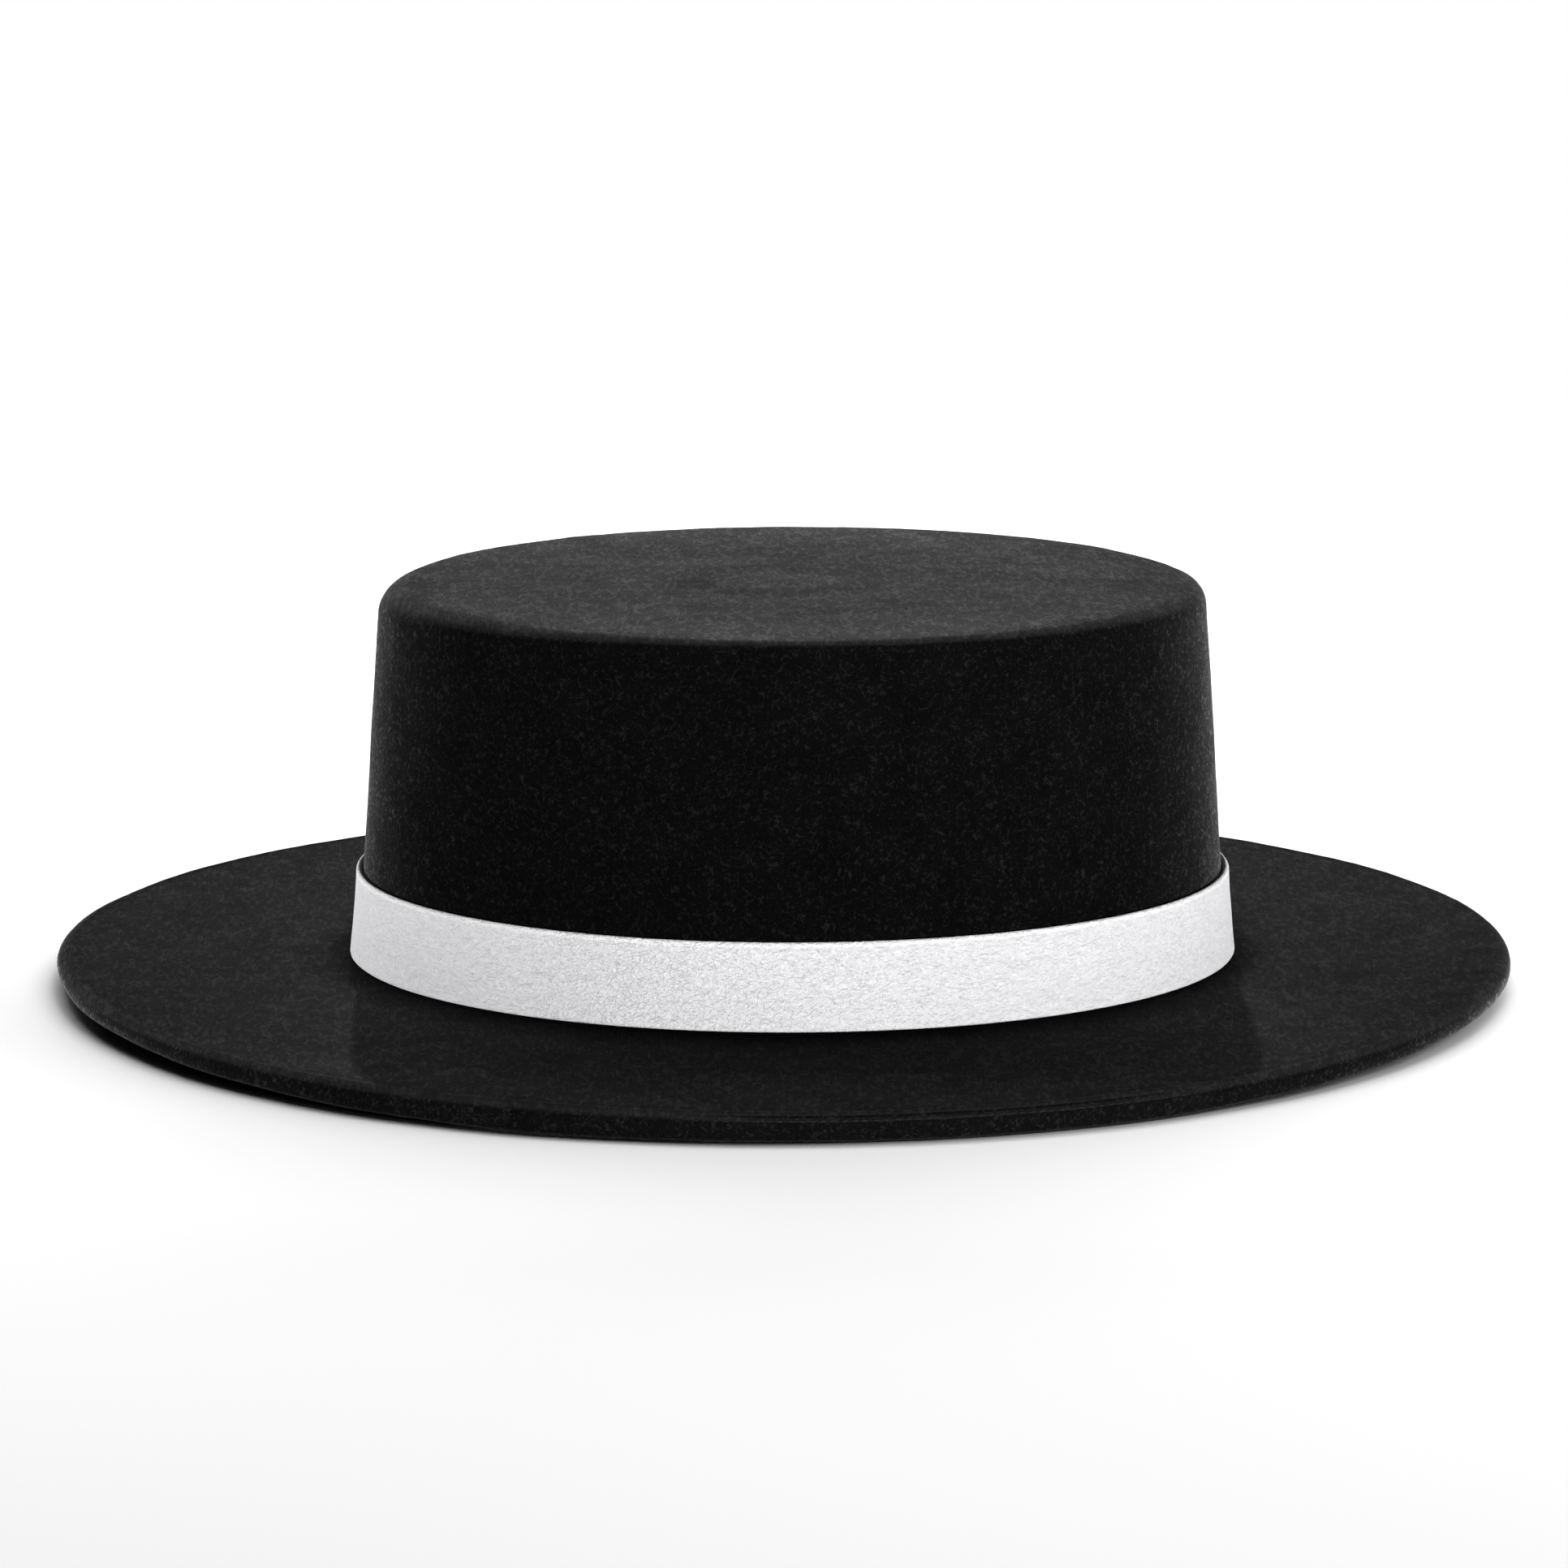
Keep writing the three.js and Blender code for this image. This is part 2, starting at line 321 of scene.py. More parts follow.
def felt_inside(angle):
    """Rings back under the brim, up the inner wall and in to the middle of the crown's inner top."""
    foot = crown_plan(BRIM_FOOT - CROWN_LINE, CROWN_FELT)
    outer = inset(foot, -FOOT_ROLL)
    reach = BRIM_PLAN[0] - outer[0]
    strip_edge = 1 - WELT_WIDTH / reach
    rings = []
    for inward in steps("strip", EDGE_ROUND, WELT_WIDTH):
        rings.append(ring(inset(BRIM_PLAN, inward), edge_height(EDGE_UNDER, angle), angle))
    for share in blend(strip_edge, 0.0, steps("under", last=False)):
        plan = inset(between(outer, BRIM_PLAN, share), WELT_STEP * (share == strip_edge))
        rings.append(ring(plan, brim_top(angle, share) - BRIM_FELT, angle))
    for turned in np.radians(90 * steps("roll", last=False)):
        plan = inset(foot, -FOOT_ROLL * (1 - math.sin(turned)))
        rings.append(ring(plan, BRIM_FOOT - BRIM_FELT + FOOT_ROLL * (1 - math.cos(turned)), angle))
    spring = CROWN_HEIGHT - shoulder_radius(angle)
    start = BRIM_FOOT - BRIM_FELT + FOOT_ROLL
    for share in steps("inner_wall", last=False):
        height = blend(start, CROWN_LINE + spring, share)
        rings.append(ring(crown_plan(height - CROWN_LINE, CROWN_FELT), height, angle))
    side = crown_plan(spring, CROWN_FELT)
    radius = shoulder_radius(angle) - CROWN_FELT
    for turned in np.radians(90 * steps("inner_shoulder", last=False)):
        plan = inset(side, radius * (1 - math.cos(turned)))
        rings.append(ring(plan, CROWN_LINE + spring + radius * math.sin(turned), angle))
    flat = inset(side, radius)
    for share in steps("inner_top", 1.0, 0.0, last=False):
        plan = (flat[0] * share, flat[1] * share, flat[2])
        rings.append(ring(plan, CROWN_TOP - CROWN_FELT, angle))
    return rings


def unevenness(grid):
    """Blocked felt is never quite true. It stays true behind the band, which lies close to it."""
    half = BAND_HEIGHT / 2
    under_band = plateau(grid[:, :, 2], BAND_BOTTOM + half, half + TRUE_PAST_BAND, TRUE_FADE)
    on_wall = np.hypot(grid[:, :, 0] / CROWN_PLAN[0], grid[:, :, 1] / CROWN_PLAN[1]) < TRUE_WITHIN
    return swell(grid, FELT_SWELL) * (1 - under_band * on_wall)


def felt_grid():
    """The felt's skin as a grid of points without its two poles, top middle first.

    The near half of the crown is a little fuller towards its top.
    """
    angle = np.linspace(0, 2 * np.pi, AROUND, endpoint=False)
    rings = crown_outside(angle) + brim_upside(angle) + brim_edge(angle) + felt_inside(angle)
    grid = np.stack(rings)
    up = np.clip((grid[:, :, 2] - BAND_HIGH[2]) / (CROWN_TOP - BAND_HIGH[2]), 0, 1)
    grid[:, :, 1] *= 1 + NEAR_FULLER * up**2 * (grid[:, :, 1] < 0)
    grid = grid + grid_normals(grid) * unevenness(grid)[:, :, None]
    grid[:, :, 2] = np.maximum(grid[:, :, 2], 0.0)
    return grid


def felt_body(material):
    grid = felt_grid()
    rows, columns = grid.shape[:2]
    poles = [[CROWN_PLAN[2], 0, CROWN_TOP + float(ripple(0.0))], [CROWN_PLAN[2], 0, CROWN_TOP - CROWN_FELT]]
    points = np.concatenate([grid.reshape(-1, 3), poles])
    top, bottom = rows * columns, rows * columns + 1
    around = np.arange(columns)
    after = (around + 1) % columns
    cap = np.stack([np.full(columns, top), around, after], axis=1)
    last = (rows - 1) * columns
    base = np.stack([np.full(columns, bottom), last + after, last + around], axis=1)
    faces = [*grid_faces(rows, columns), *cap, *base]
    piece = mesh_piece("felt_shell", points, faces, material)
    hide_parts("felt_body")


# Stitches

# A thread is a tube with this many sides, and its ends are drawn in to this share of its radius.
THREAD_SIDES = 5
THREAD_END = 0.35
STITCH_PITCH = 2.2
STITCH_LENGTH = 1.35
STITCH_RADIUS = 0.17
STITCH_POINTS = 6
STITCH_ARCH = 2.5
STITCH_SEED = 21
# How much the stitches differ: in place as a share of the pitch, in lean in millimetres, and in lift.
STITCH_OFF = 0.12
STITCH_LEAN = 0.18
STITCH_SUNK = 0.35
# At a thread's ends and its middle: how far it stands off the edge, and how high over the strip's underside.
LIFT_ON_EDGE = (-0.25, 0.10)
HEIGHT_ON_STRIP = (0.25, -0.06)
# On the edge they lie this many degrees above the seam's lip, on this share of its height, and only where
# this much of the seam shows.
STITCH_ABOVE_LIP = 8
STITCH_ON_LIP = 0.8
STITCH_WHERE_SEAM = 0.35
# Below, they lie this far out from the turned strip's inner edge.
STITCH_FROM_STRIP = 1.6


def thread(path):
    """Points and faces of one closed tube along a short path, with its ends drawn in."""
    path = np.asarray(path, float)
    along = np.gradient(path, axis=0)
    along /= np.linalg.norm(along, axis=1)[:, None]
    across = np.cross(along, [0.0, 0.0, 1.0])
    across /= np.maximum(np.linalg.norm(across, axis=1), 1e-6)[:, None]
    up = np.cross(across, along)
    turn = np.linspace(0, 2 * np.pi, THREAD_SIDES, endpoint=False)
    size = STITCH_RADIUS * np.array([THREAD_END, *[1.0] * (len(path) - 2), THREAD_END])
    circle = np.cos(turn)[None, :, None] * across[:, None] + np.sin(turn)[None, :, None] * up[:, None]
    points = (path[:, None] + circle * size[:, None, None]).reshape(-1, 3)
    faces = [face[::-1] for face in grid_faces(len(path), THREAD_SIDES)]
    first = list(range(THREAD_SIDES))
    last = [(len(path) - 1) * THREAD_SIDES + k for k in first]
    return points, [*faces, first, last[::-1]]


def joined_threads(name, paths, material):
    """Many separate stitches as one mesh."""
    points, faces, count = [], [], 0
    for path in paths:
        new_points, new_faces = thread(path)
        points.append(new_points)
        faces += [[index + count for index in face] for face in new_faces]
        count += len(new_points)
    mesh_piece(name, np.concatenate(points), faces, material)


def stitch_paths(place, keep):
    """One short arched path for each stitch round the brim. place turns angle, lift and lean into a point."""
    length = math.pi * (BRIM_PLAN[0] + BRIM_PLAN[1])
    count = round(length / STITCH_PITCH)
    random = np.random.default_rng(STITCH_SEED)
    half = STITCH_LENGTH / length * math.pi
    shares = np.linspace(-1, 1, STITCH_POINTS)
    arch = 1 - np.abs(shares) ** STITCH_ARCH
    paths = []
    for number in range(count):
        middle = 2 * math.pi * (number + random.uniform(-STITCH_OFF, STITCH_OFF)) / count
        if not keep(middle):
            continue
        lean = random.uniform(-STITCH_LEAN, STITCH_LEAN)
        sunk = random.uniform(0, STITCH_SUNK)
        paths.append([place(middle + half * s, lift - sunk, lean * s) for s, lift in zip(shares, arch)])
    return paths


def on_edge(angle, lift, lean):
    """A point on the seam's lip, sunk into the felt where lift is 0."""
    strength = float(seam_strength(angle))
    turned = math.radians(SEAM_LIP["turned"] + STITCH_ABOVE_LIP)
    off = blend(*LIFT_ON_EDGE, lift) + SEAM_LIP["height"] * strength * STITCH_ON_LIP
    plan = inset(BRIM_PLAN, EDGE_ROUND * (1 - math.cos(turned)) - off * math.cos(turned))
    low, high = (float(edge_height(form, angle)) for form in (EDGE_UNDER, EDGE_TOP))
    height = blend(low, high, (1 + math.sin(turned)) / 2) + off * math.sin(turned) + lean
    return [plan[0] * math.cos(angle), plan[1] * math.sin(angle), height]


def under_strip(angle, lift, lean):
    """A point on the underside of the turned-under strip, near its inner edge."""
    plan = inset(BRIM_PLAN, WELT_WIDTH - STITCH_FROM_STRIP + lean)
    height = max(float(edge_height(EDGE_UNDER, angle)) + blend(*HEIGHT_ON_STRIP, lift), STITCH_RADIUS)
    return [plan[0] * math.cos(angle), plan[1] * math.sin(angle), height]


def stitches(material):
    shown = stitch_paths(on_edge, lambda angle: seam_strength(angle) > STITCH_WHERE_SEAM)
    joined_threads("edge_stitches", shown, material)
    below = stitch_paths(under_strip, lambda angle: True)
    joined_threads("strip_stitches", below, material)


# The band

CLOTH = 0.6
BAND_INNER = 0.1
FOLD_IN = 7.5
BOTTOM_FOLD = 0.25
# The clear space inside the folds: at their corners, and where the hidden side of the face starts.
FOLD_CORNER = 0.1
FOLD_START = 0.4
BAND_STEPS_ROUND = 1200
BAND_STEPS_UP = 30
BACK_STEPS = 8
FLAP_STEPS = 5
FOLD_STEPS = 8
# The lap on the far side: its middle and half width in degrees, how it climbs, and how its end is rounded.
LAP_MIDDLE = 90.0
LAP_HALF = 4.2
LAP_RAMP = 2.6
LAP_CLEAR = 0.05
LAP_END_ROUND = 0.35
LAP_END_LEAST = 0.05
# A point of the section this close to the outer face is part of it.
FACE_WITHIN = 0.05


def band_section():
    """The folded strip's section as a closed loop of (off, up): off the crown's wall, and above the bottom.

    The outer face comes first, from bottom to top. Then the top fold leads down the inner flap and back, the
    inner side of the face follows, and the bottom flap closes the loop.
    """
    radius = (BAND_THICK - BAND_INNER) / 2
    middle = (BAND_THICK + BAND_INNER) / 2
    slit = radius - CLOTH
    top = BAND_HEIGHT - radius
    half_turn = np.radians(np.linspace(0, 180, FOLD_STEPS))[1:-1]
    loop = [(BAND_THICK, up) for up in np.linspace(BOTTOM_FOLD, top, BAND_STEPS_UP)]
    loop += [(middle + radius * math.cos(t), top + radius * math.sin(t)) for t in half_turn]
    flap = np.linspace(top, BAND_HEIGHT - FOLD_IN, FLAP_STEPS)
    loop += [(BAND_INNER, up) for up in flap]
    loop += [(BAND_INNER + CLOTH, up) for up in flap[::-1]]
    loop += [(middle + slit, top - FOLD_CORNER)]
    back = np.linspace(top - FOLD_START, radius + FOLD_START, BACK_STEPS)
    loop += [(BAND_THICK - CLOTH, up) for up in back]
    loop += [(middle + slit, radius + FOLD_CORNER)]
    flap = np.linspace(BOTTOM_FOLD, FOLD_IN, FLAP_STEPS)
    loop += [(BAND_INNER + CLOTH, up) for up in flap]
    loop += [(BAND_INNER, up) for up in flap[::-1]]
    loop += [(middle - radius * math.cos(t), BOTTOM_FOLD - BOTTOM_FOLD * math.sin(t)) for t in half_turn]
    return np.array(loop)


def cloth_map(piece, flat):
    """Gives each point its place on the flat cloth, along and across the strip, in millimetres."""
    corners = np.empty(len(piece.data.loops), dtype=np.int32)
    piece.data.loops.foreach_get("vertex_index", corners)
    layer = piece.data.uv_layers.new(name="cloth")
    layer.data.foreach_set("uv", flat.reshape(-1, 2)[corners].ravel())


def hat_band(material):
    section = band_section()
    start = LAP_MIDDLE - LAP_HALF
    degrees = np.linspace(start, start + 360 + 2 * LAP_HALF, BAND_STEPS_ROUND)
    angle = np.radians(degrees)
    over = np.clip((degrees - (start + 360 - LAP_RAMP)) / LAP_RAMP, 0, 1)
    over = (BAND_THICK + LAP_CLEAR) * over * over * (3 - 2 * over)
    per_degree = math.pi * (CROWN_PLAN[0] + CROWN_PLAN[1]) / 360
    to_end = np.clip((degrees[-1] - degrees) * per_degree / LAP_END_ROUND, 0, 1)
    rounding = np.sqrt(np.clip(1 - (1 - to_end) ** 2, LAP_END_LEAST, 1))
    rows = []
    for off, up in section:
        flare = BAND_FLARE * (1 - up / BAND_HEIGHT) ** 2
        out = BAND_GAP + flare + over + blend(BAND_INNER, off, rounding)
        height = BAND_BOTTOM + up
        base = crown_plan(height - CROWN_LINE)
        x = base[2] + (base[0] + out) * np.cos(angle)
        y = (base[1] + out) * np.sin(angle)
        rows.append(np.stack([x, y, np.full_like(x, height)], axis=1))
    grid = np.stack(rows)
    face = section[:, 0] > BAND_THICK - FACE_WITHIN
    out = np.stack([np.cos(angle), np.sin(angle), np.zeros_like(angle)], axis=1)
    grid = grid + out[None] * (swell(grid, BAND_SWELL) * face[:, None])[:, :, None]
    count, columns = grid.shape[:2]
    faces = [face[::-1] for face in grid_faces(count, columns, wrap_rows=True, wrap_columns=False)]
    faces += [[row * columns for row in range(count)][::-1]]
    faces += [[row * columns + columns - 1 for row in range(count)]]
    piece = mesh_piece("crepe_band", grid.reshape(-1, 3), faces, material)
    run = np.concatenate([[0.0], np.cumsum(np.linalg.norm(np.diff(section, axis=0), axis=1))])
    cloth_map(piece, np.stack(np.broadcast_arrays((degrees * per_degree)[None], run[:, None]), axis=-1))
    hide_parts("hat_band")
    return piece


# Materials

# Which way a noise is moved by its shift, so that two noises of one scale differ.
SHIFT_WAY = (1.0, 0.7, -1.0)


class Graph:
    """The nodes of a material or of the world, with short ways to add them and to join them up."""

    def __init__(self, owner):
        owner.use_nodes = True
        self.nodes = owner.node_tree.nodes
        self.links = owner.node_tree.links

    def join(self, value, socket):
        """Joins another node's output to a socket, or sets the socket to a plain value."""
        if isinstance(value, bpy.types.NodeSocket):
            self.links.new(value, socket)
        else:
            socket.default_value = value

    def node(self, kind, *inputs, **values):
        """A node with its properties and inputs set by name, and its first inputs also in their order."""
        made = self.nodes.new("ShaderNode" + kind)
        for name, value in values.items():
            label = name.replace("_", " ").title()
            if label in made.inputs:
                self.join(value, made.inputs[label])
            else:
                setattr(made, name, value)
        for value, socket in zip(inputs, made.inputs):
            self.join(value, socket)
        return made

    def math(self, operation, *inputs, clamp=False):
        return self.node("Math", *inputs, operation=operation, use_clamp=clamp).outputs[0]

    def product(self, first, *others):
        total = first
        for value in others:
            total = self.math("MULTIPLY", total, value)
        return total

    def sum_of(self, *parts, plus=0.0):
        """The sum of several values, each with its own factor, and of a constant."""
        total = 0.0
        for value, factor in parts:
            total = self.math("ADD", self.math("MULTIPLY", value, factor), total)
        return self.math("ADD", total, plus) if plus else total

    def mix(self, data_type, factor, low, high):
        """A value or colour that goes from low to high as the factor goes from 0 to 1."""
        return self.node("Mix", data_type=data_type, factor=factor, a=low, b=high).outputs["Result"]

    def smooth_share(self, value, low, high):
        """0 below low and 1 above high, with a smooth change between them."""
        made = self.node("MapRange", value, interpolation_type="SMOOTHSTEP", from_min=low, from_max=high)
        return made.outputs["Result"]

    def apart(self, vector):
        """The X, Y and Z of a vector."""
        return self.node("SeparateXYZ", vector).outputs

    def millimetres(self):
        """Object coordinates in millimetres."""
        place = self.node("TexCoord").outputs["Object"]
        return self.node("VectorMath", place, operation="SCALE", scale=1 / MM).outputs[0]

    def noise(self, place, scale, detail=2.0, shift=0.0, **values):
        moved = self.node("VectorMath", place, [shift * way for way in SHIFT_WAY], operation="ADD")
        made = self.node("TexNoise", vector=moved.outputs[0], scale=scale, detail=detail, **values)
        return made.outputs["Fac"]

    def thin_lines(self, value, width):
        """1 where a noise passes through its middle value, falling to 0 close beside that line."""
        off = self.math("ABSOLUTE", self.math("SUBTRACT", value, 0.5))
        return self.math("SUBTRACT", 1.0, self.math("MULTIPLY", off, width), clamp=True)

    def bump(self, height, strength, distance):
        """Normals for a height, with the distance in millimetres."""
        made = self.node("Bump", strength=strength, distance=distance * MM, height=height)
        return made.outputs["Normal"]


def new_material(name, surface):
    """A material with its graph and its shader, whose plain values are set by their labels."""
    material = bpy.data.materials.new(name)
    graph = Graph(material)
    shader = graph.nodes["Principled BSDF"]
    for label, value in surface.items():
        shader.inputs[label].default_value = value
    return material, graph, shader


# Felt

FELT_SURFACE = {"Roughness": 1.0, "Specular IOR Level": 0.0, "Sheen Weight": 0.003, "Sheen Roughness": 0.5}
FELT_BLACK = 0.0032
FELT_TINT = (1.0, 1.0, 1.03)
# A sheen is painted into the felt's colour where it is seen at a grazing angle. Level felt loses some of that
# and gets painted top light instead, and upright felt that faces right gets painted light from that side.
PAINTED_SHEEN_GAIN = 28.0
PAINTED_SHEEN_POWER = 5.0
LEVEL_LOSES_SHEEN = 0.65
PAINTED_TOP_LIGHT = 3.8
PAINTED_RIGHT_LIGHT = 0.35
# How far up a face must point before its nap counts as level.
LEVEL_FROM = (0.4, 0.85)

# The nap lies front to back over the crown's top and the brim, so its marks are drawn out along Y there.
NAP_DRAWN = (1.0, 0.30, 1.0)
NAP_ROUGHNESS = 0.6
NAP_BUMP = {"strength": 0.8, "distance": 0.09}
# The marks of the nap: their scale for each millimetre, how thin they are, and a shift that sets them apart.
# The shares say how much each kind of mark, and an even ground, count for.
LYING_CURLS = {"scale": 0.55, "width": 10.0, "shift": 0.0}
LYING_GRAIN = 1.5
LYING_SHARES = {"curls": 0.75, "grain": 1.3, "ground": 0.45}
STANDING_STRANDS = (
    {"scale": 0.5, "width": 24.0, "shift": 13.0},
    {"scale": 0.7, "width": 24.0, "shift": 57.0},
)
STANDING_GRAIN = 2.2
STANDING_SPECKS = {"scale": 0.45, "size": 0.17}
STANDING_SHARES = {"strands": 2.6, "grain": 0.9, "specks": 3.0, "ground": 0.35}
FIBRE_CURL = 0.7
# A second noise breaks the fibres up: its scale beside theirs, its shift, where it cuts and how sharply.
FIBRE_GAPS = {"scale": 1.4, "shift": 31.0, "from": 0.42, "sharp": 7.0}
# Broad patches where the nap is lighter or darker.
PATCHES = {"scale": 0.10, "detail": 3.0, "roughness": 0.55, "shift": 11.0}
PATCH_SHARES = {"patch": 0.8, "ground": 0.6}

# Shade is painted on the felt close to the band: how much at the crown's ends and its sides, and how far out
# in millimetres.
FOOT_PAINTED_SHADE = {"end": 0.60, "side": 0.85}
FOOT_REACH = {"end": 6.0, "side": 12.0}
# The brim's upright edge is made lighter. Brim and edge lie below this height over the band's bottom.
EDGE_LIFT = 0.45
BRIM_BELOW = 8.0

# Tone of the nap on the crown's top, by the distance from its middle in millimetres: blocking leaves rings.
TOP_MARKS = {0: 1.14, 9: 1.08, 19: 0.84, 31: 1.0, 45: 0.93, 62: 1.05, 80: 1.22}
# Their middle along X, how much shorter than long they are, and how far they stray.
TOP_MIDDLE = -3.0
TOP_ROUND = 1.2
TOP_RAGGED = 14.0
RAGGED_NOISE = {"scale": 0.05, "shift": 3.0}
# They start this far below the top, and are at full strength this much higher.
TOP_BELOW = 3.0
TOP_FADE = 2.0
# A curve node's values end at 1, so the tones are stored as shares of this.
TONE_FULL = 2


def fibres(graph, place, scale, width, shift):
    """Thin curly lines, broken up by a second noise."""
    line = graph.noise(place, scale, detail=1.0, distortion=FIBRE_CURL, shift=shift)
    thin = graph.thin_lines(line, width)
    gaps = graph.noise(place, scale * FIBRE_GAPS["scale"], detail=0.0, shift=shift + FIBRE_GAPS["shift"])
    past = graph.math("SUBTRACT", gaps, FIBRE_GAPS["from"])
    kept = graph.math("MULTIPLY", past, FIBRE_GAPS["sharp"], clamp=True)
    return graph.product(thin, kept)


def specks(graph, place, scale, size):
    """Sparse bright points where a fibre's end catches the light."""
    cells = graph.node("TexVoronoi", vector=place, scale=scale, randomness=1.0)
    near = graph.math("DIVIDE", cells.outputs["Distance"], size * scale)
    return graph.math("SUBTRACT", 1.0, near, clamp=True)


def lying_nap(graph, place):
    """Soft curly nap, drawn out the way it lies."""
    drawn = graph.node("VectorMath", place, NAP_DRAWN, operation="MULTIPLY").outputs[0]
    curls = fibres(graph, drawn, **LYING_CURLS)
    grain = graph.noise(drawn, LYING_GRAIN, roughness=NAP_ROUGHNESS)
    shares = LYING_SHARES
    return graph.sum_of((curls, shares["curls"]), (grain, shares["grain"]), plus=shares["ground"])


def standing_nap(graph, place):
    """Sparse bright fibres on the dark wall, with specks."""
    strands = graph.math("MAXIMUM", *[fibres(graph, place, **kind) for kind in STANDING_STRANDS])
    grain = graph.noise(place, STANDING_GRAIN, roughness=NAP_ROUGHNESS)
    bright = specks(graph, place, **STANDING_SPECKS)
    shares = STANDING_SHARES
    parts = (strands, shares["strands"]), (grain, shares["grain"]), (bright, shares["specks"])
    return graph.sum_of(*parts, plus=shares["ground"])


def which_way(graph):
    """Two values: 1 where the felt lies level and 0 where it stands up, and how far it faces along +X."""
    rightward, _, upward = graph.apart(graph.node("TexCoord").outputs["Normal"])
    return graph.smooth_share(graph.math("ABSOLUTE", upward), *LEVEL_FROM), rightward


def painted_felt_light(graph, level, rightward):
    """A factor for the felt's tone that paints light and sheen into its colour.

    It paints a sheen where felt is seen at a grazing angle, top light on level felt, and light from the right
    where the wall turns to the right.
    """
    # Painted sheen: the colour grows where felt is seen at a grazing angle.
    facing = graph.node("LayerWeight", blend=0.5).outputs["Facing"]
    bent = graph.math("POWER", facing, PAINTED_SHEEN_POWER)
    bent = graph.product(bent, graph.sum_of((level, -LEVEL_LOSES_SHEEN), plus=1.0))
    # Painted top light on level felt, added to the painted sheen.
    lift = graph.sum_of((bent, PAINTED_SHEEN_GAIN), (level, PAINTED_TOP_LIGHT), plus=1.0)
    # Painted light on upright felt that faces right.
    upright = graph.math("SUBTRACT", 1.0, level)
    right_light = graph.product(graph.math("MAXIMUM", rightward, 0.0), upright)
    return graph.product(lift, graph.sum_of((right_light, PAINTED_RIGHT_LIGHT), plus=1.0))


def top_marks(graph, place):
    """A factor for the felt's tone: ragged rings on the crown's top, and 1 everywhere else."""
    x, y, z = graph.apart(place)
    along = graph.math("SUBTRACT", x, TOP_MIDDLE)
    across = graph.math("MULTIPLY", y, TOP_ROUND)
    squares = [graph.math("POWER", graph.math("ABSOLUTE", way), 2.0) for way in (along, across)]
    away = graph.math("SQRT", graph.math("ADD", *squares))
    ragged = graph.math("SUBTRACT", graph.noise(place, **RAGGED_NOISE), 0.5)
    away = graph.sum_of((away, 1.0), (ragged, TOP_RAGGED))
    reach = max(TOP_MARKS)
    marks = graph.node("FloatCurve")
    curve = marks.mapping.curves[0]
    points = [(radius / reach, tone / TONE_FULL) for radius, tone in TOP_MARKS.items()]
    curve.points[0].location, curve.points[1].location = points[0], points[-1]
    for point in points[1:-1]:
        curve.points.new(*point)
    marks.mapping.update()
    graph.join(graph.math("DIVIDE", away, reach, clamp=True), marks.inputs["Value"])
    change = graph.math("SUBTRACT", graph.math("MULTIPLY", marks.outputs[0], TONE_FULL), 1.0)
    on_top = graph.math("SUBTRACT", z, CROWN_TOP - TOP_BELOW)
    on_top = graph.math("DIVIDE", on_top, TOP_FADE, clamp=True)
    return graph.math("ADD", graph.product(change, on_top), 1.0)


def foot_shade_and_edge(graph, place, level):
    """A factor for the felt's tone: painted shade in the corner under the band, and lighter on the brim's
    upright edge.
    """
    x, y, z = graph.apart(place)
    half_long, half_wide = (BAND_HIGH[0] - BAND_LOW[0]) / 2, -BAND_LOW[1]
    along = graph.math("SUBTRACT", graph.math("DIVIDE", x, half_long), CROWN_PLAN[2] / half_long)
    across = graph.math("DIVIDE", y, half_wide)
    along = graph.product(along, along)
    across = graph.product(across, across)
    squares = graph.math("ADD", along, across)
    off = graph.math("SUBTRACT", graph.math("SQRT", squares), 1.0)
    off = graph.math("MAXIMUM", graph.product(off, half_wide), 0.0)
    sideways = graph.math("DIVIDE", across, squares)
    # Painted shade round the crown's foot: how dark and how far out, between the ends and the sides.
    reach, dark = (
        graph.sum_of((sideways, kind["side"] - kind["end"]), plus=kind["end"])
        for kind in (FOOT_REACH, FOOT_PAINTED_SHADE)
    )
    out = graph.math("DIVIDE", off, reach)
    faded = graph.math("EXPONENT", graph.product(out, out))
    # The painted shade lies on level felt low down; the upright edge below that height is made lighter.
    low = graph.math("SUBTRACT", BAND_BOTTOM + BRIM_BELOW, z, clamp=True)
    dark = graph.product(dark, graph.product(low, level))
    edge = graph.product(low, graph.math("SUBTRACT", 1.0, level))
    return graph.sum_of((graph.math("DIVIDE", dark, faded), -1.0), (edge, EDGE_LIFT), plus=1.0)


def felt_material():
    """Wool felt: soft curly nap where it lies level, and sparse bright fibres on the dark wall."""
    material, graph, shader = new_material("black_wool_felt", FELT_SURFACE)
    place = graph.millimetres()
    level, rightward = which_way(graph)
    nap = graph.mix("FLOAT", level, standing_nap(graph, place), lying_nap(graph, place))
    patch = graph.noise(place, **PATCHES)
    # Besides its own nap and patches, the tone carries painted sheen, painted light and painted shade.
    tone = graph.product(
        nap,
        graph.sum_of((patch, PATCH_SHARES["patch"]), plus=PATCH_SHARES["ground"]),
        top_marks(graph, place),
        foot_shade_and_edge(graph, place, level),
        painted_felt_light(graph, level, rightward),
    )
    colour = [FELT_BLACK * share for share in FELT_TINT]
    colour = graph.node("VectorMath", colour, operation="SCALE", scale=tone).outputs[0]
    graph.join(colour, shader.inputs["Base Color"])
    graph.join(graph.bump(nap, **NAP_BUMP), shader.inputs["Normal"])
    return material


# Thread

THREAD_SURFACE = {"Roughness": 0.9, "Specular IOR Level": 0.0}
THREAD_LOW = (0.010, 0.010, 0.0103, 1)
THREAD_HIGH = (0.035, 0.035, 0.036, 1)
THREAD_TWIST = {"scale": 6.0, "detail": 1.0}


